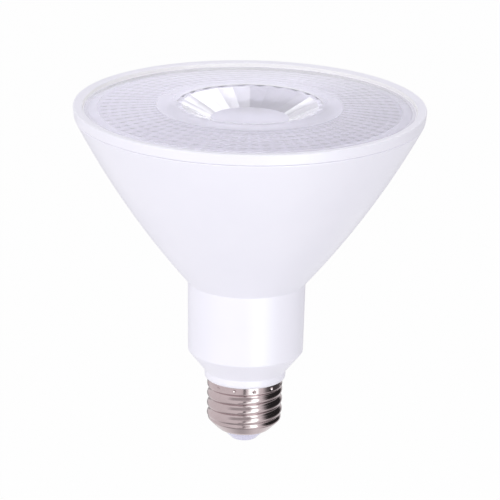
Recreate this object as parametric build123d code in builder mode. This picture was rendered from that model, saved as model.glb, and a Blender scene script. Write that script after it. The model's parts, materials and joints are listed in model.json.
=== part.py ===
"""White PAR spotlight bulb: a conical housing with a dimpled lens on top and a screw base below.

Millimetres, +Z up along the lamp's axis, Z zero at the tip of the centre contact.
"""

import math
import os

from build123d import *

# Outline of the housing and its bezel
rim_radius = 60.5
rim_height = 121.0
bezel_height = 3.9
bezel_draft = 0.45
bezel_wall = 1.9
bezel_lip = 1.6
bezel_face_width = 3.5
bezel_edge = 0.4
seam_edge = 0.2
crease_radius = 20.4
crease_height = 58.3
cone_bulge = 2.1
neck_foot_radius = 20.0
neck_foot_height = 33.3
neck_round = 0.8
lip_radius = 14.1
lip_top_height = 26.0
lip_foot_height = 22.8
lip_round = 1.2
housing_wall = 2.0
plug_length = 5.8
plug_bore = 10.3

# Lens and seal
lens_thickness = 2.4
lens_crown = 2.55
lens_margin = 0.4
seal_thickness = 0.7
well_rim_radius = 25.6
well_step = 0.5
well_radius = 24.1
well_floor_radius = 13.7
well_depth = 4.4
facet_count = 24

# Heat sink, reflector and light source
sink_wall = 1.4
sink_floor = 2.2
ledge_rise = 3.5
reflector_wall = 1.2
reflector_foot_radius = 11.7
reflector_foot_height = 2.7
pad_radius = 11.5
pad_thickness = 0.5
led_board_radius = 18.6
led_board_thickness = 1.6
package_side = 3.0
package_height = 0.7
package_gap = 0.4
package_row_gap = 0.6
outer_package_count = 8
inner_package_count = 4
screw_head_radius = 2.7
screw_head_height = 2.0
screw_shank_radius = 1.45
screw_length = 9.0
boss_wall = 1.3
boss_height = 10.0
lead_radius = 0.6
lead_reach = 15.0
lead_overlap = 6.0
lead_stand = 0.8

# Driver
driver_thickness = 1.6
driver_tail_half_width = 8.0
driver_top_gap = 1.5
rib_width = 1.2
rib_grip = 1.6
transformer_offset = -7.4
transformer_drop = 13.3
core_width = 13.4
core_height = 12.6
core_depth = 6.0
core_leg_width = 3.6
core_yoke = 1.9
winding_depth = 10.4
winding_round = 2.0
electrolytic_radius = 5.0
electrolytic_length = 16.0
electrolytic_offset = 8.5
electrolytic_drop = 22.3
groove_depth = 0.4
groove_width = 1.2
groove_rise = 2.2
film_size = (10.0, 5.0, 9.0)
film_offset = -8.0
film_drop = 10.3
choke_radius = 3.6
choke_neck_radius = 2.6
choke_length = 9.0
choke_flange = 1.3
choke_offset = 7.0
choke_drop = 14.3
varistor_radius = 3.5
varistor_thickness = 3.4
varistor_offset = -7.0
varistor_drop = 20.3
bridge_size = (6.5, 2.4, 5.0)
bridge_offset = 1.5
bridge_drop = 20.3
chip_size = (5.0, 1.5, 4.0)
chip_offset = 9.5
chip_drop = 20.3

# Screw base
thread_radius = 13.1
thread_depth = 0.74
thread_pitch = 3.629
thread_foot_height = 8.4
thread_top_height = 20.4
thread_fade_turns = 0.35
thread_steps_per_turn = 8
thread_start_angle = 52.0
collar_foot_height = 20.9
shell_bore = 12.0
shell_wall = 0.6
shell_shoulder = 0.5
shell_shoulder_round = 1.0
shell_foot_radius = 8.9
shell_foot_height = 4.3
insulator_foot_radius = 4.3
insulator_foot_height = 0.6
insulator_top_height = 7.0
contact_radius = 2.9
contact_thickness = 1.0
contact_edge = 0.3
contact_shank_radius = 1.0
contact_shank_length = 7.0
resistor_radius = 1.7
resistor_length = 6.5
resistor_lead_radius = 0.4
wire_radius = 0.6
wire_bend_radius = 1.3
neutral_wire_offset = 6.0
neutral_wire_solder_length = 4.0
neutral_wire_drop = 3.0

# Clearances
fit_gap = 0.2
seat_gap = 0.3
touch_gap = 0.05
hole_gap = 0.25
lead_hole_gap = 0.8

# Places that follow from the sizes above
seam_height = rim_height - bezel_height
seam_radius = rim_radius - bezel_draft
bezel_bore = rim_radius - bezel_wall
bezel_opening_radius = rim_radius - bezel_face_width
lip_underside = rim_height - bezel_lip
seal_top = seam_height + seal_thickness
neck_bore = neck_foot_radius - housing_wall
plug_radius = shell_bore - touch_gap
plug_foot_height = lip_foot_height - plug_length
ledge_height = crease_height + ledge_rise
sink_inset = housing_wall + fit_gap
sink_bore_inset = sink_inset + sink_wall
pad_foot = ledge_height + sink_floor
led_board_foot = pad_foot + pad_thickness
led_board_top = led_board_foot + led_board_thickness
inner_package_circle = package_side + package_gap
outer_package_circle = inner_package_circle + package_side + package_row_gap
boss_radius = screw_shank_radius + touch_gap + boss_wall
screw_circle = neck_bore - boss_radius + fit_gap
driver_face = driver_thickness / 2
driver_half_width = neck_bore - seat_gap - touch_gap
driver_top = ledge_height - driver_top_gap
driver_foot = plug_foot_height + 2 * seat_gap
transformer_height = driver_top - transformer_drop
electrolytic_foot_height = driver_top - electrolytic_drop
film_height = driver_top - film_drop
choke_foot_height = driver_top - choke_drop
varistor_height = driver_top - varistor_drop
bridge_height = driver_top - bridge_drop
chip_height = driver_top - chip_drop
thread_mean_radius = thread_radius - thread_depth / 2
thread_throw = thread_depth / 2
thread_turns = (thread_top_height - thread_foot_height) / thread_pitch
thread_steps = round(thread_turns * thread_steps_per_turn)
shell_cone_rise = thread_foot_height - shell_shoulder - shell_foot_height
shell_cone_slope = (thread_mean_radius - shell_foot_radius) / shell_cone_rise
shell_bore_foot = shell_foot_height + (shell_bore + shell_wall - shell_foot_radius) / shell_cone_slope
lead_hole_radius = lead_radius + lead_hole_gap
lead_lift = driver_face + lead_radius

# The cone's outside is one arc between the crease and the seam
cone_run = seam_radius - crease_radius
cone_rise = seam_height - crease_height
cone_chord = math.hypot(cone_run, cone_rise)
cone_arc_radius = (cone_chord**2 / 4 + cone_bulge**2) / (2 * cone_bulge)
cone_centre_back = cone_arc_radius - cone_bulge
cone_centre_radius = (seam_radius + crease_radius) / 2 - cone_centre_back * cone_rise / cone_chord
cone_centre_height = (seam_height + crease_height) / 2 + cone_centre_back * cone_run / cone_chord

# The lens is a shallow dome inside the bezel's opening
lens_edge = bezel_opening_radius - lens_margin
dome_radius = (lens_edge**2 + lens_crown**2) / (2 * lens_crown)


def cone_point(height, inset=0.0):
    reach = cone_arc_radius - inset
    return (cone_centre_radius + math.sqrt(reach**2 - (height - cone_centre_height) ** 2), height)


def cone_arc(low, high, inset=0.0):
    middle = (low + high) / 2
    return ThreePointArc(cone_point(low, inset), cone_point(middle, inset), cone_point(high, inset))


def funnel_height(radius):
    slope = (neck_foot_height - lip_top_height) / (neck_foot_radius - lip_radius)
    lift = housing_wall * math.hypot(1.0, slope)
    return neck_foot_height + slope * (radius - neck_foot_radius) + lift


def dome_height(radius):
    return lip_underside + lens_crown - dome_radius + math.sqrt(dome_radius**2 - radius**2)


def dome_point(radius, drop=0.0):
    return (radius, dome_height(radius) - drop)


def shell_cone_radius(height, inset):
    return shell_foot_radius + shell_cone_slope * (height - shell_foot_height) - inset


def thread_point(step):
    share = step / thread_steps
    turns_to_end = min(share, 1.0 - share) * thread_turns
    fade = min(1.0, turns_to_end / thread_fade_turns)
    throw = thread_throw * fade**2 * (3.0 - 2.0 * fade)
    height = thread_foot_height + share * (thread_top_height - thread_foot_height)
    angle = math.radians(thread_start_angle) + 2.0 * math.pi * share * thread_turns
    return (throw * math.cos(angle), throw * math.sin(angle), height)


# White housing: cone, neck, chamfer and lip, with a hollow plug for the screw shell
with BuildPart() as housing:
    with BuildSketch(Plane.XZ) as housing_section:
        with BuildLine():
            cone_outside = cone_arc(crease_height, seam_height)
            cone_inside = cone_arc(ledge_height, seam_height, housing_wall)
            Line(cone_outside @ 1, cone_inside @ 1)
            Polyline(
                cone_outside @ 0,
                (neck_foot_radius, neck_foot_height),
                (lip_radius, lip_top_height),
                (lip_radius, lip_foot_height),
                (plug_radius, lip_foot_height),
                (plug_radius, plug_foot_height),
                (plug_bore, plug_foot_height),
                (plug_bore, funnel_height(plug_bore)),
                (neck_bore, funnel_height(neck_bore)),
                (neck_bore, ledge_height),
                cone_inside @ 0,
            )
        make_face()
        seam_corner = (seam_radius, seam_height)
        neck_corner = (neck_foot_radius, neck_foot_height)
        lip_corner = (lip_radius, lip_foot_height)
        chamfer(housing_section.vertices().sort_by_distance(seam_corner)[0], seam_edge)
        fillet(housing_section.vertices().sort_by_distance(neck_corner)[0], neck_round)
        fillet(housing_section.vertices().sort_by_distance(lip_corner)[0], lip_round)
    revolve(axis=Axis.Z)
    # Guide ribs on both sides of the driver board
    rib_span = neck_bore + housing_wall / 2 - driver_half_width + rib_grip
    rib_middle = neck_bore + housing_wall / 2 - rib_span / 2
    rib_spread = driver_face + touch_gap + rib_width / 2
    rib_foot = funnel_height(neck_bore)
    with BuildSketch(Plane.XY.offset(rib_foot)):
        with GridLocations(2 * rib_middle, 2 * rib_spread, 2, 2):
            Rectangle(rib_span, rib_width)
    extrude(amount=driver_top - rib_foot)
    # Screw bosses under the light source
    with BuildSketch(Plane.XY.offset(ledge_height - boss_height)):
        with PolarLocations(screw_circle, 2, start_angle=90):
            Circle(boss_radius)
    extrude(amount=boss_height)
    with BuildSketch(Plane.XY.offset(ledge_height)):
        with PolarLocations(screw_circle, 2, start_angle=90):
            Circle(screw_shank_radius + touch_gap)
    extrude(amount=-boss_height, mode=Mode.SUBTRACT)
housing.part.label = "housing"

# Bezel ring: a band with an inward lip over the lens
with BuildPart() as bezel_ring:
    with BuildSketch(Plane.XZ) as bezel_section:
        with BuildLine():
            Polyline(
                (seam_radius, seam_height),
                (rim_radius, rim_height),
                (bezel_opening_radius, rim_height),
                (bezel_opening_radius, lip_underside),
                (bezel_bore, lip_underside),
                (bezel_bore, seam_height),
                close=True,
            )
        make_face()
        chamfer(bezel_section.vertices().sort_by_distance((rim_radius, rim_height))[0], bezel_edge)
        chamfer(bezel_section.vertices().sort_by_distance((seam_radius, seam_height))[0], seam_edge)
    revolve(axis=Axis.Z)
bezel_ring.part.label = "bezel_ring"

# Silicone seal: a flat ring on the ends of the housing and the heat sink
seal_radius = bezel_bore - seat_gap
seal_bore = cone_point(seam_height, sink_bore_inset)[0]
with BuildPart() as lens_seal:
    with BuildSketch(Plane.XY.offset(seam_height)):
        Circle(seal_radius)
        Circle(seal_bore, mode=Mode.SUBTRACT)
    extrude(amount=seal_thickness)
lens_seal.part.label = "lens_seal"

# Clear lens: a domed plate with a flange under the bezel's lip and a stepped, faceted well in the middle
spigot_radius = seal_bore - seat_gap
well_top = dome_height(well_rim_radius) - well_step
well_floor = well_top - well_depth
facet_run = (well_radius - well_floor_radius) * math.cos(math.pi / facet_count)
facet_tilt = math.degrees(math.atan(facet_run / well_depth))
with BuildPart() as front_lens:
    with BuildSketch(Plane.XZ):
        with BuildLine():
            dome = ThreePointArc(dome_point(lens_edge), dome_point(lens_edge / 2), dome_point(0.0))
            back_edge = well_rim_radius + lens_thickness
            back_middle = (spigot_radius + back_edge) / 2
            back = ThreePointArc(
                dome_point(spigot_radius, lens_thickness),
                dome_point(back_middle, lens_thickness),
                dome_point(back_edge, lens_thickness),
            )
            Polyline(
                dome @ 0,
                (seal_radius, lip_underside),
                (seal_radius, seal_top),
                (spigot_radius, seal_top),
                back @ 0,
            )
            Polyline(
                back @ 1,
                (well_floor_radius + lens_thickness / 2, well_floor - lens_thickness),
                (0.0, well_floor - lens_thickness),
                dome @ 1,
            )
        make_face()
    revolve(axis=Axis.Z)
    with BuildSketch(Plane.XY.offset(well_floor)):
        RegularPolygon(well_floor_radius, facet_count)
    extrude(amount=well_depth, taper=-facet_tilt, mode=Mode.SUBTRACT)
    with BuildSketch(Plane.XY.offset(well_top)):
        Circle(well_rim_radius)
    extrude(amount=well_step + lens_crown, mode=Mode.SUBTRACT)
front_lens.part.label = "front_lens"

# Aluminium heat sink: a stamped straight-walled cup that stands on the housing's ledge
with BuildPart() as heat_sink:
    with BuildSketch(Plane.XZ):
        with BuildLine():
            Polyline(
                (0.0, ledge_height),
                cone_point(ledge_height, sink_inset),
                cone_point(seam_height, sink_inset),
                cone_point(seam_height, sink_bore_inset),
                cone_point(pad_foot, sink_bore_inset),
                (0.0, pad_foot),
                close=True,
            )
        make_face()
    revolve(axis=Axis.Z)
    with BuildSketch(Plane.XY.offset(ledge_height)):
        with PolarLocations(screw_circle, 2, start_angle=90):
            Circle(screw_shank_radius + hole_gap)
        with Locations((lead_reach, lead_lift), (-lead_reach, lead_lift)):
            Circle(lead_hole_radius)
    extrude(amount=sink_floor, mode=Mode.SUBTRACT)
heat_sink.part.label = "heat_sink"

# Thermal pad under the light source
with BuildPart() as thermal_pad:
    with BuildSketch(Plane.XY.offset(pad_foot)):
        Circle(pad_radius)
    extrude(amount=pad_thickness)
thermal_pad.part.label = "thermal_pad"

# Metal-core board, with holes for the screws and the leads
with BuildPart() as led_board:
    with BuildSketch(Plane.XY.offset(led_board_foot)):
        Circle(led_board_radius)
        with PolarLocations(screw_circle, 2, start_angle=90):
            Circle(screw_shank_radius + hole_gap, mode=Mode.SUBTRACT)
        with Locations((lead_reach, lead_lift), (-lead_reach, lead_lift)):
            Circle(lead_hole_radius, mode=Mode.SUBTRACT)
    extrude(amount=led_board_thickness)
led_board.part.label = "led_board"

# Light-emitting packages in two circles
with BuildPart() as led_packages:
    with BuildSketch(Plane.XY.offset(led_board_top)):
        with PolarLocations(outer_package_circle, outer_package_count):
            Rectangle(package_side, package_side)
        with PolarLocations(inner_package_circle, inner_package_count):
            Rectangle(package_side, package_side)
    extrude(amount=package_height)
led_packages.part.label = "led_packages"

# Two screws through board, pad and heat sink into the housing's bosses
with BuildPart() as board_screws:
    with BuildSketch(Plane.XY.offset(led_board_top)):
        with PolarLocations(screw_circle, 2, start_angle=90):
            Circle(screw_head_radius)
    extrude(amount=screw_head_height)
    with BuildSketch(Plane.XY.offset(led_board_top)):
        with PolarLocations(screw_circle, 2, start_angle=90):
            Circle(screw_shank_radius)
    extrude(amount=-screw_length)
board_screws.part.label = "board_screws"

# Reflector: a straight cone that stands on the board and ends under the lens
reflector_top_height = dome_height(spigot_radius) - lens_thickness - seat_gap
reflector_top_radius = cone_point(reflector_top_height, sink_bore_inset)[0] - seat_gap
reflector_neck = led_board_top + reflector_foot_height
with BuildPart() as reflector:
    with BuildSketch(Plane.XZ):
        with BuildLine():
            Polyline(
                (reflector_foot_radius, led_board_top),
                (reflector_foot_radius, reflector_neck),
                (reflector_top_radius, reflector_top_height),
                (reflector_top_radius - reflector_wall, reflector_top_height),
                (reflector_foot_radius - reflector_wall, reflector_neck),
                (reflector_foot_radius - reflector_wall, led_board_top),
                close=True,
            )
        make_face()
    revolve(axis=Axis.Z)
reflector.part.label = "reflector"

# Driver board: a plate across the neck, with a tail that reaches into the plug
with BuildPart() as driver_board:
    with BuildSketch(Plane.XZ):
        with BuildLine():
            driver_shoulder = funnel_height(driver_half_width) + seat_gap
            tail_top = funnel_height(driver_tail_half_width) + seat_gap
            Polyline(
                (driver_half_width, driver_top),
                (-driver_half_width, driver_top),
                (-driver_half_width, driver_shoulder),
                (-driver_tail_half_width, tail_top),
                (-driver_tail_half_width, driver_foot),
                (driver_tail_half_width, driver_foot),
                (driver_tail_half_width, tail_top),
                (driver_half_width, driver_shoulder),
                close=True,
            )
        make_face()
    extrude(amount=driver_face, both=True)
driver_board.part.label = "driver_board"

# Transformer: a ferrite frame around a winding, seated on the driver board
core_window_width = (core_width - core_leg_width) / 2 - core_yoke
core_window_height = core_height - 2 * core_yoke
core_window_offset = (core_leg_width + core_window_width) / 2
winding_middle = -driver_face - winding_depth / 2
with BuildPart() as transformer_core:
    with BuildSketch(Plane.XZ.offset(-winding_middle)):
        with Locations((transformer_offset, transformer_height)):
            Rectangle(core_width, core_height)
            with GridLocations(2 * core_window_offset, 1, 2, 1):
                Rectangle(core_window_width, core_window_height, mode=Mode.SUBTRACT)
    extrude(amount=core_depth / 2, both=True)
transformer_core.part.label = "transformer_core"

with BuildPart() as transformer_winding:
    with BuildSketch(Plane.XY.offset(transformer_height - core_window_height / 2 + touch_gap)):
        with Locations((transformer_offset, winding_middle)):
            winding_width = core_leg_width + 2 * core_window_width - 2 * touch_gap
            RectangleRounded(winding_width, winding_depth, winding_round)
            Rectangle(core_leg_width + 2 * touch_gap, core_depth + 2 * touch_gap, mode=Mode.SUBTRACT)
    extrude(amount=core_window_height - 2 * touch_gap)
transformer_winding.part.label = "transformer_winding"

# Electrolytic capacitor: a can with a rolled groove, beside the transformer
with BuildPart() as electrolytic_capacitor:
    can_lift = -driver_face - touch_gap - electrolytic_radius
    with BuildSketch(Plane.XY.offset(electrolytic_foot_height)):
        with Locations((electrolytic_offset, can_lift)):
            Circle(electrolytic_radius)
    extrude(amount=electrolytic_length)
    with BuildSketch(Plane.XY.offset(electrolytic_foot_height + groove_rise)):
        with Locations((electrolytic_offset, can_lift)):
            Circle(electrolytic_radius)
            Circle(electrolytic_radius - groove_depth, mode=Mode.SUBTRACT)
    extrude(amount=groove_width, mode=Mode.SUBTRACT)
electrolytic_capacitor.part.label = "electrolytic_capacitor"

# Film capacitor, rectifier and control chip on the other face
with BuildPart() as film_capacitor:
    with BuildSketch(Plane.XZ.offset(-driver_face)):
        with Locations((film_offset, film_height)):
            Rectangle(film_size[0], film_size[2])
    extrude(amount=-film_size[1])
film_capacitor.part.label = "film_capacitor"

with BuildPart() as bridge_rectifier:
    with BuildSketch(Plane.XZ.offset(-driver_face)):
        with Locations((bridge_offset, bridge_height)):
            Rectangle(bridge_size[0], bridge_size[2])
    extrude(amount=-bridge_size[1])
bridge_rectifier.part.label = "bridge_rectifier"

with BuildPart() as driver_chip:
    with BuildSketch(Plane.XZ.offset(-driver_face)):
        with Locations((chip_offset, chip_height)):
            Rectangle(chip_size[0], chip_size[2])
    extrude(amount=-chip_size[1])
driver_chip.part.label = "driver_chip"

# Input choke: a drum between two flanges
with BuildPart() as input_choke:
    choke_plane = Plane.XY.offset(choke_foot_height)
    choke_lift = driver_face + touch_gap + choke_radius
    with BuildSketch(choke_plane):
        with Locations((choke_offset, choke_lift)):
            Circle(choke_radius)
    extrude(amount=choke_length)
    with BuildSketch(choke_plane.offset(choke_flange)):
        with Locations((choke_offset, choke_lift)):
            Circle(choke_radius)
            Circle(choke_neck_radius, mode=Mode.SUBTRACT)
    extrude(amount=choke_length - 2 * choke_flange, mode=Mode.SUBTRACT)
input_choke.part.label = "input_choke"

# Varistor: a coated disc flat on the board
with BuildPart() as varistor:
    with BuildSketch(Plane.XZ.offset(-driver_face)):
        with Locations((varistor_offset, varistor_height)):
            Circle(varistor_radius)
    extrude(amount=-varistor_thickness)
varistor.part.label = "varistor"

# Stiff leads from the driver's face up through the heat sink to the light source's board
with BuildPart() as led_lead_positive:
    with BuildSketch(Plane.XY.offset(driver_top - lead_overlap)):
        with Locations((lead_reach, lead_lift)):
            Circle(lead_radius)
    extrude(amount=lead_overlap + led_board_top + lead_stand - driver_top)
led_lead_positive.part.label = "led_lead_positive"

with BuildPart() as led_lead_negative:
    mirror(led_lead_positive.part, about=Plane.YZ)
led_lead_negative.part.label = "led_lead_negative"

# Screw shell: collar above, swept knuckle thread in the middle, turned-in cone below
with BuildPart() as screw_shell:
    with BuildLine() as thread_route:
        Polyline(*[thread_point(step) for step in range(thread_steps + 1)])
    with BuildSketch(Plane.XY.offset(thread_foot_height)):
        Circle(thread_mean_radius)
    sweep(path=thread_route.wires()[0], normal=(0, 0, 1))
    with BuildSketch(Plane.XZ):
        with BuildLine():
            Polyline(
                (0.0, thread_top_height),
                (thread_mean_radius, thread_top_height),
                (thread_radius, collar_foot_height),
                (thread_radius, lip_foot_height),
                (0.0, lip_foot_height),
                close=True,
            )
        make_face()
    revolve(axis=Axis.Z)
    with BuildSketch(Plane.XZ) as foot_section:
        with BuildLine():
            Polyline(
                (0.0, thread_foot_height),
                (thread_mean_radius, thread_foot_height),
                (thread_mean_radius, thread_foot_height - shell_shoulder),
                (shell_foot_radius, shell_foot_height),
                (0.0, shell_foot_height),
                close=True,
            )
        make_face()
        shoulder = (thread_mean_radius, thread_foot_height - shell_shoulder)
        fillet(foot_section.vertices().sort_by_distance(shoulder)[0], shell_shoulder_round)
    revolve(axis=Axis.Z)
    with BuildSketch(Plane.XZ):
        with BuildLine():
            Polyline(
                (0.0, lip_foot_height),
                (shell_bore, lip_foot_height),
                (shell_bore, shell_bore_foot),
                (shell_cone_radius(shell_foot_height, shell_wall), shell_foot_height),
                (0.0, shell_foot_height),
                close=True,
            )
        make_face()
    revolve(axis=Axis.Z, mode=Mode.SUBTRACT)
screw_shell.part.label = "screw_shell"

# White insulator inside the shell's cone, with a pocket and a hole for the contact
insulator_inset = shell_wall + fit_gap
with BuildPart() as base_insulator:
    with BuildSketch(Plane.XZ):
        with BuildLine():
            Polyline(
                (contact_shank_radius + touch_gap, insulator_top_height),
                (shell_cone_radius(insulator_top_height, insulator_inset), insulator_top_height),
                (shell_cone_radius(shell_foot_height, insulator_inset), shell_foot_height),
                (insulator_foot_radius, insulator_foot_height),
                (contact_radius + touch_gap, insulator_foot_height),
                (contact_radius + touch_gap, contact_thickness),
                (contact_shank_radius + touch_gap, contact_thickness),
                close=True,
            )
        make_face()
    revolve(axis=Axis.Z)
base_insulator.part.label = "base_insulator"

# Centre contact: a flat button on a shank
with BuildPart() as contact_button:
    with BuildSketch(Plane.XZ) as contact_section:
        with BuildLine():
            Polyline(
                (0.0, 0.0),
                (contact_radius, 0.0),
                (contact_radius, contact_thickness),
                (contact_shank_radius, contact_thickness),
                (contact_shank_radius, contact_thickness + contact_shank_length),
                (0.0, contact_thickness + contact_shank_length),
                close=True,
            )
        make_face()
        chamfer(contact_section.vertices().sort_by_distance((contact_radius, 0.0))[0], contact_edge)
    revolve(axis=Axis.Z)
contact_button.part.label = "contact_button"

# Fusible resistor on its leads, from the contact's shank to the driver board's tail
shank_top = contact_thickness + contact_shank_length
resistor_foot = (shank_top + driver_foot - resistor_length) / 2
with BuildPart() as fuse_resistor:
    with BuildSketch(Plane.XY.offset(shank_top)):
        Circle(resistor_lead_radius)
    extrude(amount=driver_foot - shank_top)
    with BuildSketch(Plane.XY.offset(resistor_foot)):
        Circle(resistor_radius)
    extrude(amount=resistor_length)
fuse_resistor.part.label = "fuse_resistor"

# Neutral wire: down from the driver board's tail, then out to the shell's wall
neutral_lift = -driver_face - wire_radius
neutral_top = driver_foot + neutral_wire_solder_length
neutral_low = plug_foot_height - neutral_wire_drop
neutral_reach = math.sqrt(shell_bore**2 - (abs(neutral_lift) + wire_radius) ** 2) - touch_gap
with BuildPart() as neutral_wire:
    with BuildLine() as neutral_route:
        FilletPolyline(
            (-neutral_wire_offset, neutral_lift, neutral_top),
            (-neutral_wire_offset, neutral_lift, neutral_low),
            (-neutral_reach, neutral_lift, neutral_low),
            radius=wire_bend_radius,
        )
    with BuildSketch(Plane.XY.offset(neutral_top)):
        with Locations((-neutral_wire_offset, neutral_lift)):
            Circle(wire_radius)
    sweep(path=neutral_route.wires()[0])
neutral_wire.part.label = "neutral_wire"

os.makedirs("parts", exist_ok=True)
pieces = [
    housing,
    bezel_ring,
    lens_seal,
    front_lens,
    heat_sink,
    thermal_pad,
    led_board,
    led_packages,
    board_screws,
    reflector,
    driver_board,
    transformer_core,
    transformer_winding,
    electrolytic_capacitor,
    film_capacitor,
    bridge_rectifier,
    driver_chip,
    input_choke,
    varistor,
    led_lead_positive,
    led_lead_negative,
    screw_shell,
    base_insulator,
    contact_button,
    fuse_resistor,
    neutral_wire,
]
for piece in pieces:
    export_step(piece.part, f"parts/{piece.part.label}.step")
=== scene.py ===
import json
import math

import bmesh
import bpy
from mathutils import Matrix, Vector


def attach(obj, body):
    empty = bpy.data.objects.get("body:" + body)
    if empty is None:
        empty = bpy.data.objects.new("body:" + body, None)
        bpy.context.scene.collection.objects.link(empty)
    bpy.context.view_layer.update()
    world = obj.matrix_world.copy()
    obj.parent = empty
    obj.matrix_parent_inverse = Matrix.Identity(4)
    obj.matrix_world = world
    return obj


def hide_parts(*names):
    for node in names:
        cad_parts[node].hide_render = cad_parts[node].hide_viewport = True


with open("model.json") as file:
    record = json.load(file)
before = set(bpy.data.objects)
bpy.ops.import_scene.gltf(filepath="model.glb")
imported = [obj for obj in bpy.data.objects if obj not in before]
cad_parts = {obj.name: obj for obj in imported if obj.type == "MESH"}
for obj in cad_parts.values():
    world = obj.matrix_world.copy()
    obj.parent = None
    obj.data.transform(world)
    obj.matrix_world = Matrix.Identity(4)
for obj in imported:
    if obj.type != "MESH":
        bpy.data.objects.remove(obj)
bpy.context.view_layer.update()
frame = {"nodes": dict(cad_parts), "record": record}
scene = bpy.context.scene
scene.view_settings.view_transform = "Standard"
mm = 0.001
fullTurn = 2 * math.pi
print("frame loaded,", len(frame["nodes"]), "nodes")


# nodes and sockets, the same for shaders and for geometry
def addNode(tree, kind, **settings):
    node = tree.nodes.new(kind)
    for key, value in settings.items():
        setattr(node, key, value)
    return node


def feed(tree, value, socket):  # a socket is linked, anything else is set
    if isinstance(value, bpy.types.NodeSocket):
        tree.links.new(value, socket)
    else:
        socket.default_value = value


def calc(tree, operation, *values):
    node = addNode(tree, "ShaderNodeMath", operation=operation)
    for value, socket in zip(values, node.inputs):
        feed(tree, value, socket)
    return node.outputs[0]


def times(tree, first, *others):  # a product, from left to right
    for other in others:
        first = calc(tree, "MULTIPLY", first, other)
    return first


def squares(tree, first, second):  # the sum of two squares
    return calc(tree, "ADD", calc(tree, "MULTIPLY", first, first), calc(tree, "MULTIPLY", second, second))


def splitVector(tree, vector):
    node = addNode(tree, "ShaderNodeSeparateXYZ")
    feed(tree, vector, node.inputs[0])
    return node.outputs


def joinVector(tree, x, y, z):
    node = addNode(tree, "ShaderNodeCombineXYZ")
    for value, socket in zip((x, y, z), node.inputs):
        feed(tree, value, socket)
    return node.outputs[0]


def rise(tree, value, low, high, first=0.0, last=1.0):  # smooth step from first to last
    node = addNode(tree, "ShaderNodeMapRange", interpolation_type="SMOOTHSTEP")
    labels = ("Value", "From Min", "From Max", "To Min", "To Max")
    for label, part in zip(labels, (value, low, high, first, last)):
        feed(tree, part, node.inputs[label])
    return node.outputs["Result"]


def mixTones(tree, share, first, second):
    node = addNode(tree, "ShaderNodeMix", data_type="RGBA")
    for index, value in ((0, share), (6, (*first, 1.0)), (7, (*second, 1.0))):  # share, then the two colours
        feed(tree, value, node.inputs[index])
    return node.outputs[2]  # the colour output


def noise(tree, vector, scale, detail):
    node = addNode(tree, "ShaderNodeTexNoise")
    for label, value in (("Vector", vector), ("Scale", scale), ("Detail", detail)):
        feed(tree, value, node.inputs[label])
    return node.outputs["Fac"]


# effects that several finishes share: relief from a fine noise, tone from a slow one, roughness from both
mouldSizes = {  # spark-eroded mould texture with slow flow patches
    "inputs": ("Grain", "Patch"), "details": (3.0, 2.0), "tone band": (0.3, 0.7), "shares": (0.5, 0.5),
    "round the axis": False,
}
rolledSizes = {  # rolling lines round the axis, and smudges from handling
    "inputs": ("Lines", "Smudge"), "details": (2.0, 4.0), "tone band": (0.35, 0.7), "shares": (0.3, 0.7),
    "round the axis": True,
}
roughBand = (0.3, 0.7)  # the part of a noise that roughness follows


def makeEffect(name, size):
    group = bpy.data.node_groups.new(name, "ShaderNodeTree")
    fineInput, slowInput = size["inputs"]
    group.interface.new_socket("Vector", in_out="INPUT", socket_type="NodeSocketVector")
    for label in size["inputs"]:
        group.interface.new_socket(label, in_out="INPUT", socket_type="NodeSocketFloat")
    for label in ("Height", "Tone", "Rough"):
        group.interface.new_socket(label, in_out="OUTPUT", socket_type="NodeSocketFloat")
    given = addNode(group, "NodeGroupInput").outputs
    made = addNode(group, "NodeGroupOutput").inputs
    across = given["Vector"]
    if size["round the axis"]:  # radius and height alone, so the lines run round
        x, y, z = splitVector(group, given["Vector"])
        across = joinVector(group, calc(group, "SQRT", squares(group, x, y)), 0.0, z)
    fineDetail, slowDetail = size["details"]
    fine = noise(group, across, given[fineInput], fineDetail)
    slow = noise(group, given["Vector"], given[slowInput], slowDetail)
    fineShare, slowShare = size["shares"]
    both = calc(group, "ADD", times(group, fine, fineShare), times(group, slow, slowShare))
    feed(group, fine, made["Height"])
    feed(group, rise(group, slow, *size["tone band"]), made["Tone"])
    feed(group, both, made["Rough"])
    return group


mouldGrain = makeEffect("mouldGrain", mouldSizes)
rolledMetal = makeEffect("rolledMetal", rolledSizes)


def startMaterial(name):
    material = bpy.data.materials.new(name)
    material.use_nodes = True
    return material, material.node_tree


def startFinish(name, group, look):  # a material with a shared effect, its tones and its plain values
    material, tree = startMaterial(name)
    shader = tree.nodes["Principled BSDF"]
    spot = addNode(tree, "ShaderNodeTexCoord").outputs["Object"]
    effect = addNode(tree, "ShaderNodeGroup", node_tree=group)
    feed(tree, spot, effect.inputs["Vector"])
    for socket, value in zip(effect.inputs[1:], look["scales"]):
        socket.default_value = value
    tone = mixTones(tree, effect.outputs["Tone"], look["colour"], look["shade"])
    feed(tree, tone, shader.inputs["Base Color"])
    for label, value in look["fixed"].items():
        shader.inputs[label].default_value = value
    return material, tree, shader, spot, effect.outputs


def finish(name, group, look):
    material, tree, shader, spot, effect = startFinish(name, group, look)
    feed(tree, rise(tree, effect["Rough"], *roughBand, *look["rough"]), shader.inputs["Roughness"])
    bump = addNode(tree, "ShaderNodeBump")
    bump.inputs["Strength"].default_value = look["relief"]
    bump.inputs["Distance"].default_value = look["relief depth"] * mm
    feed(tree, effect["Height"], bump.inputs["Height"])
    feed(tree, bump.outputs[0], shader.inputs["Normal"])
    return material


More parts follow.
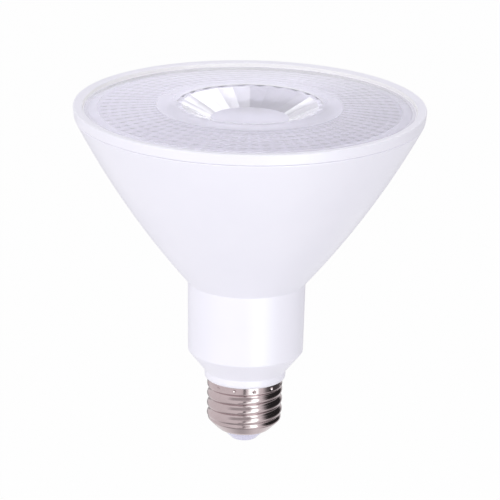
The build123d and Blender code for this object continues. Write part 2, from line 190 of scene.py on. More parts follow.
shellLook = {  # satin white plastic of the housing and the bezel
    "colour": (0.885, 0.872, 0.945), "shade": (0.872, 0.860, 0.935), "rough": (0.36, 0.46),
    "scales": (2600.0, 45.0), "relief": 0.12, "relief depth": 0.03, "fixed": {"IOR": 1.47},
}
nickelLook = {  # thin nickel plate, rolled
    "colour": (0.55, 0.45, 0.465), "shade": (0.51, 0.415, 0.428), "rough": (0.12, 0.19),
    "scales": (2200.0, 160.0), "relief": 0.10, "relief depth": 0.02, "fixed": {"Metallic": 1.0},
}
insulatorLook = {  # glassy pale moulding under the shell
    "colour": (0.72, 0.70, 0.86), "shade": (0.69, 0.67, 0.84), "rough": (0.20, 0.30),
    "scales": (1800.0, 220.0), "relief": 0.03, "relief depth": 0.03, "fixed": {"IOR": 1.5},
}
contactLook = {  # dull solder-like metal of the centre contact
    "colour": (0.66, 0.62, 0.56), "shade": (0.52, 0.48, 0.43), "rough": (0.24, 0.42),
    "scales": (3000.0, 500.0), "relief": 0.2, "relief depth": 0.03, "fixed": {"Metallic": 1.0},
}
reflectorLook = {  # white cup behind the lens
    "colour": (0.965, 0.945, 1.0), "shade": (0.95, 0.93, 0.99), "rough": (0.40, 0.55),
    "scales": (1600.0, 60.0), "relief": 0.1, "relief depth": 0.03, "fixed": {"IOR": 1.5},
}
edgeLook = {  # the lens's own edge, frosted where it sits under the bezel
    "colour": (0.95, 0.94, 0.99), "shade": (0.94, 0.93, 0.98), "rough": (0.35, 0.5),
    "scales": (1500.0, 90.0), "relief": 0.1, "relief depth": 0.03, "fixed": {"IOR": 1.49},
}
rimLook = {  # the lens's outermost band, moulded milky over its seat
    "colour": (0.785, 0.77, 0.855), "shade": (0.77, 0.755, 0.84), "rough": (0.2, 0.3),
    "scales": (1500.0, 90.0), "relief": 0.05, "relief depth": 0.03, "fixed": {"IOR": 1.49},
}
lipPolishAndPaintedLightLook = {  # the bezel's inner wall: polished, so smoother, and painted whiter than the shell as painted light on a wall that gets little light
    "colour": (0.985, 0.975, 0.99), "shade": (0.975, 0.965, 0.98), "rough": (0.2, 0.3),
    "scales": (2600.0, 45.0), "relief": 0.08, "relief depth": 0.03, "fixed": {"IOR": 1.47},
}
whitePlastic = finish("whitePlastic", mouldGrain, shellLook)
frostedEdge = finish("frostedEdge", mouldGrain, edgeLook)
milkyRim = finish("milkyRim", mouldGrain, rimLook)
# painted light: the lip's finish is the shell's white made brighter
lipPolishAndPaintedLight = finish("lipPolishAndPaintedLight", mouldGrain, lipPolishAndPaintedLightLook)
nickelPlate = finish("nickelPlate", rolledMetal, nickelLook)
palePlastic = finish("palePlastic", mouldGrain, insulatorLook)
contactMetal = finish("contactMetal", rolledMetal, contactLook)
reflectorWhite = finish("reflectorWhite", mouldGrain, reflectorLook)

lensLook = {  # clear moulding, slightly hazed among the dimples
    "colour": (0.93, 0.91, 0.98), "shade": (0.915, 0.895, 0.97), "scales": (900.0, 60.0),
    "rough": (0.05, 0.05), "rough span": (24.6, 29.0),  # in the well, on the field, and the radii between
    "haze": (0.8, 1.2),
    "fixed": {
        "Transmission Weight": 0.85, "IOR": 1.49, "Specular Tint": (0.91, 0.90, 1.0, 1.0),
        "Coat Weight": 1.0, "Coat Roughness": 0.16,
    },
}
smoothLook = {  # the same moulding where it is smooth: well, collar and outer band
    **lensLook, "colour": (0.91, 0.89, 1.0), "shade": (0.895, 0.875, 0.99), "rough": (0.08, 0.16),
    "fixed": {**lensLook["fixed"], "Transmission Weight": 0.52},
}


def lensFinish(name, look):
    material, tree, shader, spot, effect = startFinish(name, mouldGrain, look)
    flat = addNode(tree, "ShaderNodeVectorMath", operation="MULTIPLY")
    feed(tree, spot, flat.inputs[0])
    flat.inputs[1].default_value = (1.0, 1.0, 0.0)
    reach = addNode(tree, "ShaderNodeVectorMath", operation="LENGTH")
    feed(tree, flat.outputs[0], reach.inputs[0])
    wellEnd, fieldStart = look["rough span"]
    field = rise(tree, reach.outputs["Value"], wellEnd * mm, fieldStart * mm, *look["rough"])
    haze = rise(tree, effect["Rough"], *roughBand, *look["haze"])
    feed(tree, times(tree, field, haze), shader.inputs["Roughness"])
    return material


clearLens = lensFinish("clearLens", lensLook)
smoothLens = lensFinish("smoothLens", smoothLook)
print("finishes of the outside made")

# turned shapes: rows of (radius, height) in mm, swept round the lamp's axis
weld = 1e-7  # metres: points closer than this become one
sharpAngle = 38.0  # degrees: an edge that bends more stays sharp


def softCorners(corners, steps=6, support=0.15):  # support keeps the flat beside a rounding flat
    points = []
    for index, (radius, height, soft) in enumerate(corners):
        here = Vector((radius, height))
        if not soft:
            points.append((radius, height))
            continue
        back = (Vector(corners[index - 1][:2]) - here).normalized()
        ahead = (Vector(corners[(index + 1) % len(corners)][:2]) - here).normalized()
        half = back.angle(ahead) / 2
        reach = soft / math.tan(half)
        centre = here + (back + ahead).normalized() * (soft / math.sin(half))
        spoke = here + back * reach - centre
        last = here + ahead * reach - centre
        start = math.atan2(spoke.y, spoke.x)
        turn = (math.atan2(last.y, last.x) - start + math.pi) % fullTurn - math.pi
        points.append(tuple(here + back * (reach + support)))
        for step in range(steps + 1):
            angle = start + turn * step / steps
            points.append((centre.x + soft * math.cos(angle), centre.y + soft * math.sin(angle)))
        points.append(tuple(here + ahead * (reach + support)))
    return points


# rows make a closed loop, or a run from axis to axis; shares say how far each row takes the facets
def revolve(name, rows, segments, facets=0, shares=None, swell=0.0):
    verts, faces = [], []
    half = math.pi / max(facets, 1)
    for index, (radius, height) in enumerate(rows):
        share = shares[index] if shares else 0.0
        for step in range(segments):
            angle = fullTurn * step / segments
            off = angle % (2 * half) - half
            flat = math.cos(half) / math.cos(off) - swell * (1 - (off / half) ** 2) if facets else 1.0
            reach = radius * (1 + share * (flat - 1)) * mm
            verts.append((reach * math.cos(angle), reach * math.sin(angle), height * mm))
    loop = rows[0][0] > 0
    for row in range(len(rows) - (0 if loop else 1)):
        near, far = row * segments, (row + 1) % len(rows) * segments
        for step in range(segments):
            after = (step + 1) % segments
            faces.append((near + step, near + after, far + after, far + step))
    mesh = bpy.data.meshes.new(name)
    mesh.from_pydata(verts, [], faces)
    shape = bmesh.new()
    shape.from_mesh(mesh)
    bmesh.ops.remove_doubles(shape, verts=shape.verts, dist=weld)
    bmesh.ops.recalc_face_normals(shape, faces=shape.faces)
    shape.to_mesh(mesh)
    shape.free()
    piece = bpy.data.objects.new(name, mesh)
    scene.collection.objects.link(piece)
    return piece


def place(piece, node, material=None):  # smooth it and put it on the frame
    if material:
        piece.data.materials.clear()
        piece.data.materials.append(material)
    piece.data.shade_smooth()
    piece.data.set_sharp_from_angle(angle=math.radians(sharpAngle))
    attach(piece, "root")
    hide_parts(node)
    print("placed", piece.name, len(piece.data.polygons), "faces")


# geometry trees: named sizes in, one plain mesh out
wholeTurns = 1000.0  # added before a fraction is taken, which keeps it above nought


def geometryTree(name, sizes):
    tree = bpy.data.node_groups.new(name, "GeometryNodeTree")
    tree.interface.new_socket("Geometry", in_out="INPUT", socket_type="NodeSocketGeometry")
    kinds = {int: "NodeSocketInt", float: "NodeSocketFloat"}
    sockets = {label: kinds[type(value)] for label, value in sizes.items()}
    sockets["Finish"] = "NodeSocketMaterial"
    names = {}
    for label, kind in sockets.items():
        names[label] = tree.interface.new_socket(label, in_out="INPUT", socket_type=kind).identifier
    tree.interface.new_socket("Geometry", in_out="OUTPUT", socket_type="NodeSocketGeometry")
    return tree, addNode(tree, "NodeGroupInput").outputs, names


def endTree(tree, given, offset):  # move the points, then one mesh with its finish
    move = addNode(tree, "GeometryNodeSetPosition")
    feed(tree, given["Geometry"], move.inputs["Geometry"])
    feed(tree, offset, move.inputs["Offset"])
    real = addNode(tree, "GeometryNodeRealizeInstances")
    feed(tree, move.outputs[0], real.inputs[0])
    paint = addNode(tree, "GeometryNodeSetMaterial")
    feed(tree, real.outputs[0], paint.inputs["Geometry"])
    feed(tree, given["Finish"], paint.inputs["Material"])
    feed(tree, paint.outputs[0], addNode(tree, "NodeGroupOutput").inputs[0])


def runTree(piece, tree, names, sizes, material):
    modifier = piece.modifiers.new(tree.name, "NODES")
    modifier.node_group = tree
    for label, value in sizes.items():
        modifier[names[label]] = value
    modifier[names["Finish"]] = material
    made = bpy.data.meshes.new_from_object(piece.evaluated_get(bpy.context.evaluated_depsgraph_get()))
    piece.modifiers.remove(modifier)
    piece.data = made


def polar(tree):  # x, y, z, radius and angle of each point
    x, y, z = splitVector(tree, addNode(tree, "GeometryNodeInputPosition").outputs[0])
    return x, y, z, calc(tree, "SQRT", squares(tree, x, y)), calc(tree, "ARCTAN2", y, x)


def fromMiddle(tree, value):  # place in a repeating cell of 1, from its middle
    return calc(tree, "SUBTRACT", calc(tree, "FRACT", value), 0.5)


def between(tree, value, low, high):
    return times(tree, calc(tree, "GREATER_THAN", value, low), calc(tree, "LESS_THAN", value, high))


# housing
housing = {
    "segments": 192, "seam height": 117.1, "seam edge": 0.35, "crease height": 58.3, "crease soft": 0.4,
    "neck radius": 20.0, "neck foot": 33.3, "neck soft": 0.8, "lip radius": 14.1, "lip top": 26.0,
    "lip foot": 22.8, "lip soft": 1.25, "lip root": 0.35, "plug radius": 11.95, "plug foot": 17.0,
    "plug bore": 10.3, "funnel foot": 24.48, "funnel top": 34.007, "neck bore": 18.0, "ledge height": 61.8,
    "arc radius": 300.43, "arc centre": (-207.1224, 254.4912), "arc steps": 36, "wall": 2.0,
}


def coneRun(size, low, inset):  # up the cone's arc to the seam, inset for the inner wall
    middleRadius, middleHeight = size["arc centre"]
    reach = size["arc radius"] - inset
    run = []
    for step in range(size["arc steps"] + 1):
        height = low + (size["seam height"] - low) * step / size["arc steps"]
        run.append((middleRadius + math.sqrt(reach**2 - (height - middleHeight) ** 2), height, 0))
    return run


def makeHousing(size):
    outside = coneRun(size, size["crease height"], 0.0)
    outside[0] = (*outside[0][:2], size["crease soft"])
    outside[-1] = (*outside[-1][:2], size["seam edge"])
    inside = coneRun(size, size["ledge height"], size["wall"])
    corners = outside + inside[::-1] + [
        (size["neck bore"], size["ledge height"], 0),
        (size["neck bore"], size["funnel top"], 0),
        (size["plug bore"], size["funnel foot"], 0),
        (size["plug bore"], size["plug foot"], 0),
        (size["plug radius"], size["plug foot"], 0),
        (size["plug radius"], size["lip foot"], 0),
        (size["lip radius"], size["lip foot"], size["lip soft"]),
        (size["lip radius"], size["lip top"], size["lip root"]),
        (size["neck radius"], size["neck foot"], size["neck soft"]),
    ]
    piece = revolve("housingShell", softCorners(corners), size["segments"])
    place(piece, "housing", whitePlastic)


makeHousing(housing)

# bezel ring
bezel = {
    "segments": 256, "foot radius": 60.05, "foot height": 117.18, "foot edge": 0.35, "rim radius": 60.5,
    "rim height": 121.0, "rim soft": 0.55, "mouth": 57.0, "mouth height": 120.75, "mouth soft": 0.95,
    "lip underside": 119.4, "bore": 58.6, "painted light from": 119.2, "painted light to": 57.3,
}


def makeBezel(size):
    corners = [
        (size["foot radius"], size["foot height"], size["foot edge"]),
        (size["rim radius"], size["rim height"], size["rim soft"]),
        (size["mouth"], size["mouth height"], size["mouth soft"]),
        (size["mouth"], size["lip underside"], 0),
        (size["bore"], size["lip underside"], 0),
        (size["bore"], size["foot height"], 0),
    ]
    piece = revolve("bezelRing", softCorners(corners), size["segments"])
    for material in (whitePlastic, lipPolishAndPaintedLight):
        piece.data.materials.append(material)
    # faces of the inner wall take the whiter lip finish, which is painted light
    for face in piece.data.polygons:
        if face.center.z > size["painted light from"] * mm and face.center.xy.length < size["painted light to"] * mm:
            face.material_index = 1
    place(piece, "bezel_ring")


makeBezel(bezel)

# front lens: dome, faceted well and a field of dimples
lens = {
    "segments": 720, "facets": 24, "facet swell": 0.004, "round from": 23.7, "round to": 24.2,
    "dome radius": 629.424, "dome steps": 14, "crown": 2.55, "edge": 56.6, "edge height": 119.4,
    "thickness": 2.4, "rim radius": 24.9, "step": 0.25, "step soft": 0.06, "ledge middle": 24.35,
    "bead": 0.45, "bead rise": 0.04, "bead soft": 0.15, "well radius": 23.6, "well depth": 4.65,
    "well soft": 0.15, "well floor": 13.5, "floor soft": 0.5, "floor middle": 11.0,
    "field start": 31.2, "field end": 51.4, "rows in a ring": 10, "flange radius": 58.3,
    "flange foot": 117.8, "spigot radius": 55.6954, "frost from": 57.3, "frost back": 54.0,
    "milky from": 55.5, "corner steps": 4, "corner support": 0.02,
}
dimples = {
    "Inner": lens["field start"] * mm, "Outer": lens["field end"] * mm, "Rings": 6, "Rows": 72,
    "Rise": 0.064 * mm, "Underside": -0.5, "Step Inner": 24.1 * mm, "Step Blend": 0.2 * mm,
    "Step Outer": 24.95 * mm, "Step Foot": 120.8 * mm, "Step Head": 121.3 * mm, "Step": 0.24 * mm,
    "Scallops": lens["facets"], "Scallop Share": 0.7,
}


def domeHeight(radius):
    ball = lens["dome radius"]
    return lens["edge height"] + lens["crown"] - ball + math.sqrt(ball**2 - radius**2)


def makeDimpleTree():
    tree, given, names = geometryTree("lensDimples", dimples)
    x, y, z, radius, angle = polar(tree)
    turn = calc(tree, "DIVIDE", angle, fullTurn)

    # each cell of the field swells downwards, which looks like a dimple from above
    fieldWidth = calc(tree, "SUBTRACT", given["Outer"], given["Inner"])
    outward = calc(tree, "DIVIDE", calc(tree, "SUBTRACT", radius, given["Inner"]), fieldWidth)
    ring = times(tree, outward, given["Rings"])
    across = fromMiddle(tree, calc(tree, "ADD", times(tree, turn, given["Rows"]), wholeTurns))
    away = squares(tree, across, fromMiddle(tree, ring))
    swell = calc(tree, "SUBTRACT", 1.0, times(tree, away, 4.0))  # nought at half a cell
    swell = calc(tree, "MAXIMUM", swell, 0.0)
    facing = splitVector(tree, addNode(tree, "GeometryNodeInputNormal").outputs[0])[2]
    under = calc(tree, "LESS_THAN", facing, given["Underside"])
    dimple = times(tree, swell, given["Rise"], under, between(tree, ring, 0.0, given["Rings"]))

    # the well's step, filled between the scallops
    arc = calc(tree, "ADD", times(tree, turn, given["Scallops"]), wholeTurns)
    aside = calc(tree, "DIVIDE", times(tree, fromMiddle(tree, arc), 2.0), given["Scallop Share"])
    closed = calc(tree, "MINIMUM", times(tree, aside, aside), 1.0)
    blendEnd = calc(tree, "ADD", given["Step Inner"], given["Step Blend"])
    onStep = times(
        tree,
        between(tree, z, given["Step Foot"], given["Step Head"]),
        rise(tree, radius, given["Step Inner"], blendEnd),
        calc(tree, "LESS_THAN", radius, given["Step Outer"]),
    )
    fill = times(tree, closed, given["Step"], onStep)
    endTree(tree, given, joinVector(tree, 0.0, 0.0, calc(tree, "SUBTRACT", fill, dimple)))
    return tree, names


def makeLens(size):
    rim, wall, floorEdge = size["rim radius"], size["thickness"], size["well floor"]
    ledge, crest = domeHeight(rim) - size["step"], domeHeight(rim) + size["bead rise"]
    floor = ledge - size["well depth"]
    corners = [
        (0.0, floor, 0),
        (size["floor middle"], floor, 0),
        (floorEdge, floor, size["floor soft"]),
        (size["well radius"], ledge, size["well soft"]),
        (size["ledge middle"], ledge, 0),
        (rim, ledge, size["step soft"]),
        (rim, crest, size["step soft"]),
        (rim + size["bead"] / 2, crest, size["bead soft"]),
    ]
    start, steps = rim + size["bead"], size["dome steps"]
    radii = [start + (size["edge"] - start) * step / steps for step in range(steps + 1)]
    radii.insert(-1, size["milky from"])
    corners += [(radius, domeHeight(radius), 0) for radius in radii]
    corners += [
        (size["flange radius"], size["edge height"], 0),
        (size["flange radius"], size["flange foot"], 0),
        (size["spigot radius"], size["flange foot"], 0),
    ]
    start, steps = size["field end"], dimples["Rings"] * size["rows in a ring"]
    radii = [start + (size["field start"] - start) * step / steps for step in range(steps + 1)]
    radii = [size["spigot radius"], *radii, rim + wall]
    corners += [(radius, domeHeight(radius) - wall, 0) for radius in radii]
    corners += [(floorEdge + wall / 2, floor - wall, 0), (0.0, floor - wall, 0)]
    rows = softCorners(corners, size["corner steps"], size["corner support"])
    span = size["round to"] - size["round from"]
    shares = [min(1.0, max(0.0, (size["round to"] - radius) / span)) for radius, height in rows]
    piece = revolve("lensDisc", rows, size["segments"], size["facets"], shares, size["facet swell"])
    tree, names = makeDimpleTree()
    runTree(piece, tree, names, dimples, clearLens)
    for material in (frostedEdge, smoothLens, milkyRim):
        piece.data.materials.append(material)
    frosted, smooth, milky = 1, 2, 3
    for face in piece.data.polygons:
        away, up = face.center.xy.length, face.normal.z
        if away > size["frost from"] * mm or (away > size["frost back"] * mm and up < 0.0):
            face.material_index = frosted
        elif up > 0.0 and away > size["milky from"] * mm:
            face.material_index = milky
        elif up > 0.0 and not size["field start"] * mm < away < size["field end"] * mm:
            face.material_index = smooth
    place(piece, "front_lens")


makeLens(lens)

# screw shell: rolled thread and punched dots
shell = {
    "segments": 432, "mean radius": 12.73, "top": 22.8, "thread foot": 8.4, "shoulder": 0.4,
    "shoulder soft": 1.4, "knee radius": 9.75, "knee height": 5.0, "knee soft": 2.0, "foot radius": 8.9,
    "foot height": 4.3, "foot edge": 0.15, "bore": 12.0, "bore foot": 7.78, "foot bore": 8.3, "row": 0.15,
}
thread = {
    "Pitch": 3.629 * mm, "Throw": 0.37 * mm, "Start": math.radians(52.0), "Low": shell["thread foot"] * mm,
    "High": 20.8 * mm, "Fade": 0.35, "Flatten": 0.12, "Wall": 12.3 * mm, "Dots": 12,
    "Dot Height": 21.58 * mm, "Dot Radius": 0.75 * mm, "Dot Depth": 0.48 * mm,
}


def makeThreadTree():
    tree, given, names = geometryTree("rolledThread", thread)
    x, y, z, radius, angle = polar(tree)

    # the thread's wave, which fades in and out over part of a turn
    turns = calc(tree, "DIVIDE", calc(tree, "SUBTRACT", z, given["Low"]), given["Pitch"])
    climb = calc(tree, "ADD", given["Start"], times(tree, turns, fullTurn))
    phase = calc(tree, "SUBTRACT", angle, climb)
    twice = calc(tree, "SUBTRACT", 1.0, calc(tree, "COSINE", times(tree, phase, 2.0)))
    wave = calc(tree, "ADD", calc(tree, "COSINE", phase), times(tree, given["Flatten"], twice))
    toTop = calc(tree, "DIVIDE", calc(tree, "SUBTRACT", given["High"], z), given["Pitch"])
    below = rise(tree, toTop, 0.0, given["Fade"])
    fade = times(tree, rise(tree, turns, 0.0, given["Fade"]), below)
    shape = calc(tree, "ADD", times(tree, wave, fade), calc(tree, "SUBTRACT", 1.0, below))
    swell = times(tree, shape, given["Throw"])

    # a ring of punched dots above it
    wedge = calc(tree, "DIVIDE", fullTurn, given["Dots"])
    turned = fromMiddle(tree, calc(tree, "ADD", calc(tree, "DIVIDE", angle, wedge), wholeTurns))
    across = times(tree, turned, wedge, radius)
    above = calc(tree, "SUBTRACT", z, given["Dot Height"])
    away = calc(tree, "SQRT", squares(tree, across, above))
    dent = rise(tree, away, 0.0, given["Dot Radius"], given["Dot Depth"], 0.0)
    outer = calc(tree, "GREATER_THAN", radius, given["Wall"])
    change = times(tree, calc(tree, "SUBTRACT", swell, dent), outer)
    scale = calc(tree, "DIVIDE", change, radius)
    endTree(tree, given, joinVector(tree, times(tree, x, scale), times(tree, y, scale), 0.0))
    return tree, names


def makeShell(size):
    corners = [
        (size["foot bore"], size["foot height"], 0),
        (size["foot radius"], size["foot height"], size["foot edge"]),
        (size["knee radius"], size["knee height"], size["knee soft"]),
        (size["mean radius"], size["thread foot"] - size["shoulder"], size["shoulder soft"]),
    ]
    tall = size["top"] - size["thread foot"]
    rows = round(tall / size["row"])
    corners += [(size["mean radius"], size["thread foot"] + tall * row / rows, 0) for row in range(rows + 1)]
    corners += [(size["bore"], size["top"], 0), (size["bore"], size["bore foot"], 0)]
    piece = revolve("screwShell", softCorners(corners), size["segments"])
    tree, names = makeThreadTree()
    runTree(piece, tree, names, thread, nickelPlate)
    place(piece, "screw_shell")


makeShell(shell)

# insulator and centre contact
insulator = {
    "segments": 128, "top": 7.0, "top radius": 10.97, "seat radius": 8.1, "seat height": 4.3,
    "foot radius": 4.3, "foot height": 0.6, "foot soft": 0.4, "pocket": 2.95, "pocket roof": 1.0,
    "hole": 1.05,
}
contact = {
    "segments": 96, "radius": 2.9, "edge": 0.45, "thickness": 1.0, "shank": 1.0, "top": 8.0, "dome": 0.06,
    "dome middle": 0.6,  # share of the radius at half the dome's height
}


def makeInsulator(size):
    corners = [
        (size["hole"], size["top"], 0),
        (size["top radius"], size["top"], 0),
        (size["seat radius"], size["seat height"], 0),
        (size["foot radius"], size["foot height"], size["foot soft"]),
        (size["pocket"], size["foot height"], 0),
        (size["pocket"], size["pocket roof"], 0),
        (size["hole"], size["pocket roof"], 0),
    ]
    piece = revolve("baseInsulator", softCorners(corners), size["segments"])
    place(piece, "base_insulator", palePlastic)


def makeContact(size):
    corners = [
        (0.0, 0.0, 0),
        (size["radius"] * size["dome middle"], size["dome"] / 2, 0),
        (size["radius"], size["dome"], size["edge"]),
        (size["radius"], size["thickness"], 0),
        (size["shank"], size["thickness"], 0),
        (size["shank"], size["top"], 0),
        (0.0, size["top"], 0),
    ]
    piece = revolve("contactButton", softCorners(corners), size["segments"])
    place(piece, "contact_button", contactMetal)


makeInsulator(insulator)
makeContact(contact)

# reflector behind the lens
reflector = {
    "segments": 192, "foot radius": 11.7, "foot": 66.1, "neck": 68.8, "neck soft": 0.8,
    "top radius": 55.5286, "top": 116.781, "edge": 0.3, "wall": 1.2,
}


def makeReflector(size):
    inner = size["foot radius"] - size["wall"]
    corners = [
        (size["foot radius"], size["foot"], 0),
        (size["foot radius"], size["neck"], size["neck soft"]),
        (size["top radius"], size["top"], size["edge"]),
        (size["top radius"] - size["wall"], size["top"], size["edge"]),
        (inner, size["neck"], size["neck soft"]),
        (inner, size["foot"], 0),
    ]
    piece = revolve("reflectorCone", softCorners(corners), size["segments"])
    place(piece, "reflector", reflectorWhite)


makeReflector(reflector)

# pieces inside keep their CAD shapes: slot, then effect, colour, shade, roughness and scales
innerLooks = {
    "silicone": (mouldGrain, (0.80, 0.79, 0.80), (0.74, 0.73, 0.75), (0.45, 0.6), (900.0, 80.0)),
    "sheet_aluminium": (rolledMetal, (0.80, 0.80, 0.81), (0.70, 0.70, 0.72), (0.28, 0.42), (900.0, 90.0)),
    "pad_grey": (mouldGrain, (0.42, 0.43, 0.45), (0.36, 0.37, 0.39), (0.75, 0.9), (1800.0, 200.0)),
    "board_white": (mouldGrain, (0.86, 0.86, 0.85), (0.82, 0.82, 0.80), (0.28, 0.4), (1500.0, 120.0)),
    "phosphor": (mouldGrain, (0.88, 0.72, 0.18), (0.84, 0.66, 0.14), (0.4, 0.55), (2500.0, 300.0)),
    "steel": (rolledMetal, (0.62, 0.61, 0.60), (0.50, 0.49, 0.48), (0.25, 0.4), (2500.0, 300.0)),
    "board_green": (mouldGrain, (0.04, 0.20, 0.09), (0.03, 0.15, 0.07), (0.3, 0.42), (1400.0, 150.0)),
    "ferrite": (mouldGrain, (0.07, 0.07, 0.075), (0.05, 0.05, 0.055), (0.55, 0.75), (2200.0, 260.0)),
    "winding_tape": (mouldGrain, (0.82, 0.62, 0.10), (0.74, 0.54, 0.08), (0.3, 0.45), (1600.0, 180.0)),
    "sleeve_black": (mouldGrain, (0.03, 0.03, 0.04), (0.05, 0.05, 0.06), (0.25, 0.4), (1500.0, 170.0)),
    "film_red": (mouldGrain, (0.42, 0.06, 0.05), (0.34, 0.05, 0.04), (0.3, 0.45), (1500.0, 200.0)),
    "varistor_blue": (mouldGrain, (0.04, 0.14, 0.42), (0.03, 0.11, 0.34), (0.3, 0.45), (1500.0, 220.0)),
    "moulded_black": (mouldGrain, (0.04, 0.04, 0.045), (0.06, 0.06, 0.065), (0.5, 0.7), (2400.0, 260.0)),
    "resistor_body": (mouldGrain, (0.10, 0.32, 0.24), (0.08, 0.26, 0.20), (0.35, 0.5), (1800.0, 240.0)),
    "tinned_copper": (rolledMetal, (0.72, 0.70, 0.67), (0.60, 0.58, 0.55), (0.25, 0.4), (2600.0, 400.0)),
    "wire_sleeve": (mouldGrain, (0.85, 0.85, 0.86), (0.79, 0.79, 0.81), (0.4, 0.55), (1600.0, 240.0)),
}
innerRelief = {"relief": 0.15, "relief depth": 0.03}


def dressInside():
    finishes = {}
    for slot, (group, colour, shade, rough, scales) in innerLooks.items():
        look = {"colour": colour, "shade": shade, "rough": rough, "scales": scales, **innerRelief}
        look["fixed"] = {"Metallic": 1.0 if group is rolledMetal else 0.0}
        finishes[slot] = finish("inner." + slot, group, look)
    for entry in frame["record"]["subparts"]:
        node, slot = entry["node"], entry["material_slot"]
        if slot in finishes and not frame["nodes"][node].hide_render:
            held = frame["nodes"][node].data.materials
            held.clear()
            held.append(finishes[slot])
    print("inside dressed,", len(finishes), "finishes")


dressInside()

# studio: pale floor, soft lights, white to the eye and to gloss
studio = {
    "floor": -0.5, "floor size": 8.0, "floor colour": (0.91, 0.91, 0.92), "floor white": 0.97,
    "ambient": 0.73, "ambient colour": (0.985, 0.98, 1.0),
    "lamps": {  # place from the aim, size, radiance
        "leftSoftbox": ((-1.10, -0.80, 0.32), 1.1, 1.42),
        "frontSoftbox": ((0.62, -1.22, 0.40), 1.0, 1.69),
    },
}
plain, cool, lavender = (1.0, 1.0, 1.0), (0.86, 1.0, 0.96), (0.98, 0.965, 1.085)
cards = {  # seen by gloss alone: place from the aim, width, height, soft edge, cover, colour, radiance
    "wellCard": ((0.31, 0.77, 0.87), 0.36, 0.84, 0.25, 1.0, plain, 5.0),
    "ridgeCard": ((0.08, 0.54, 1.07), 0.12, 0.22, 0.25, 1.0, plain, 2.8),
    "topCard": ((0.0, 0.0, 1.1), 0.5, 0.5, 0.30, 1.0, plain, 4.0),
    "endCard": ((-0.335, 1.05, 0.525), 0.09, 0.34, 0.20, 1.0, plain, 2.6),
    "nearEndCard": ((0.307, 1.10, 0.42), 0.12, 0.16, 0.20, 1.0, plain, 2.6),
    "rightCard": ((0.24, -0.40, 0.0), 0.24, 0.95, 0.30, 1.0, cool, 3.5),
    "lowCard": ((0.17, -0.38, -0.27), 0.24, 0.34, 0.14, 0.9, cool, 2.6),
    "rightFlag": ((0.58, 0.14, 0.05), 1.62, 1.30, 0.30, 0.97, plain, 0.0),
    "sideLowFlag": ((0.34, 0.14, -0.45), 0.50, 0.50, 0.35, 0.6, plain, 0.0),
    "middleFlag": ((0.0, -0.50, -0.12), 0.09, 0.60, 0.25, 0.8, plain, 0.0),
    "frontFlag": ((-0.18, -0.60, 0.60), 1.5, 0.8, 0.30, 0.45, plain, 0.0),
    "lensCard": ((-0.07, 1.30, 0.50), 0.54, 0.86, 0.25, 1.0, lavender, 1.16),
    "lensSideCard": ((0.20, 1.28, 0.50), 0.36, 0.86, 0.35, 0.9, lavender, 0.87),
    "lowFlag": ((-0.08, -0.01, -0.40), 0.46, 0.46, 0.36, 0.55, plain, 0.0),
    "footFlag": ((-0.05, -0.26, -0.34), 0.14, 0.20, 0.30, 0.65, plain, 0.0),
    "backFlag": ((-0.10, 0.85, -0.30), 1.3, 0.50, 0.30, 0.55, plain, 0.0),
}
aim = Vector((0.0, 0.0, 0.0625))


def backgroundShare(tree):  # 1 for camera, gloss and glass rays
    rays = addNode(tree, "ShaderNodeLightPath").outputs
    seen = calc(tree, "MAXIMUM", rays["Is Camera Ray"], rays["Is Glossy Ray"])
    return calc(tree, "MAXIMUM", seen, rays["Is Transmission Ray"])


def plainShader(tree, kind, colour, strength=None):
    node = addNode(tree, kind)
    node.inputs["Color"].default_value = (*colour, 1.0)
    if strength is not None:
        node.inputs["Strength"].default_value = strength
    return node


def mixShaders(tree, share, first, second, end):  # the second one by its share, into the end node
    mix = addNode(tree, "ShaderNodeMixShader")
    for value, socket in zip((share, first.outputs[0], second.outputs[0]), mix.inputs):
        feed(tree, value, socket)
    feed(tree, mix.outputs[0], addNode(tree, end).inputs[0])


def board(name, width, height, spot, facing):
    mesh = bpy.data.meshes.new(name)
    x, y = width / 2, height / 2
    mesh.from_pydata([(-x, -y, 0), (x, -y, 0), (x, y, 0), (-x, y, 0)], [], [(0, 1, 2, 3)])
    sheet = mesh.uv_layers.new(name="sheet")
    for loop, corner in zip(sheet.data, ((0, 0), (1, 0), (1, 1), (0, 1))):
        loop.uv = corner
    turn = facing.to_track_quat("Z", "Y").to_matrix().to_4x4()
    mesh.transform(Matrix.Translation(spot) @ turn)
    piece = bpy.data.objects.new(name, mesh)
    scene.collection.objects.link(piece)
    return piece


def cardFinish(name, soft, cover, colour, radiance):  # full in the middle, clear at the edges
    material, tree = startMaterial(name)
    tree.nodes.clear()
    middle = 0.5
    share = cover
    for along in splitVector(tree, addNode(tree, "ShaderNodeTexCoord").outputs["UV"])[:2]:
        away = calc(tree, "ABSOLUTE", calc(tree, "SUBTRACT", along, middle))
        share = times(tree, share, rise(tree, away, middle - soft, middle, 1.0, 0.0))
    clear = addNode(tree, "ShaderNodeBsdfTransparent")
    full = plainShader(tree, "ShaderNodeEmission", colour, radiance)
    mixShaders(tree, share, clear, full, "ShaderNodeOutputMaterial")
    return material


def makeCards():
    for name, (away, width, height, *tone) in cards.items():
        piece = board(name, width, height, aim + Vector(away), -Vector(away))
        piece.data.materials.append(cardFinish(name, *tone))
        piece.visible_camera = piece.visible_diffuse = piece.visible_shadow = False


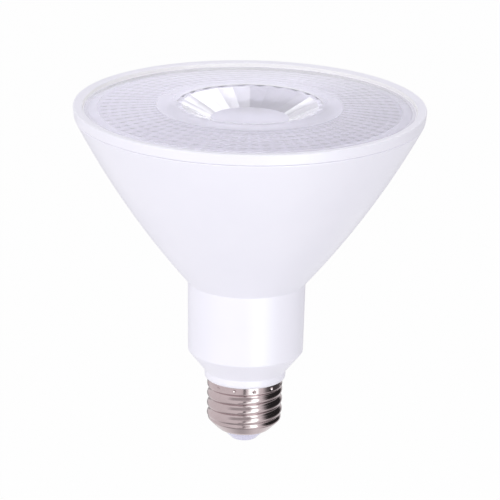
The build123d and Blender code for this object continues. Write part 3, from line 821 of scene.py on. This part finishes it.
def makeStudio(size):
    world = bpy.data.worlds.new("studioWorld")
    scene.world = world
    world.use_nodes = True
    tree = world.node_tree
    tree.nodes.clear()
    soft = plainShader(tree, "ShaderNodeBackground", size["ambient colour"], size["ambient"])
    white = plainShader(tree, "ShaderNodeBackground", plain, 1.0)
    mixShaders(tree, backgroundShare(tree), soft, white, "ShaderNodeOutputWorld")

    width = size["floor size"]
    floor = board("studioFloor", width, width, Vector((0, 0, size["floor"])), Vector((0, 0, 1)))
    pale, tree = startMaterial("paleFloor")
    tree.nodes.clear()
    share = times(tree, backgroundShare(tree), size["floor white"])
    matt = plainShader(tree, "ShaderNodeBsdfDiffuse", size["floor colour"])
    bright = plainShader(tree, "ShaderNodeEmission", plain, 1.0)
    mixShaders(tree, share, matt, bright, "ShaderNodeOutputMaterial")
    floor.data.materials.append(pale)

    for name, (away, width, radiance) in size["lamps"].items():
        lamp = bpy.data.lights.new(name, "AREA")
        lamp.size = width
        lamp.energy = radiance * math.pi * width**2
        holder = bpy.data.objects.new(name, lamp)
        holder.location = aim + Vector(away)
        holder.rotation_euler = (-Vector(away)).to_track_quat("-Z", "Y").to_euler()
        holder.visible_camera = holder.visible_glossy = False  # it lights, the cards mirror
        scene.collection.objects.link(holder)


makeStudio(studio)
makeCards()
print("studio lit")

# camera, from the photograph's side
view = {
    "elevation": 18.03, "roll": 1.083, "distance": 1.3, "lens": 270.6, "sensor": 36.0,
    "shift": (0.0061, 0.0368), "clip": (0.05, 50.0),
}


def makeCamera(size):
    data = bpy.data.cameras.new("photoCamera")
    data.lens = size["lens"]
    data.sensor_width = size["sensor"]
    data.shift_x, data.shift_y = size["shift"]
    data.clip_start, data.clip_end = size["clip"]
    holder = bpy.data.objects.new("photoCamera", data)
    tilt = math.radians(size["elevation"])
    back = Vector((0.0, -math.cos(tilt), math.sin(tilt)))
    turn = (-back).to_track_quat("-Z", "Y").to_matrix().to_4x4()
    roll = Matrix.Rotation(math.radians(size["roll"]), 4, "Z")
    holder.matrix_world = Matrix.Translation(aim + back * size["distance"]) @ turn @ roll
    scene.collection.objects.link(holder)
    scene.camera = holder


makeCamera(view)
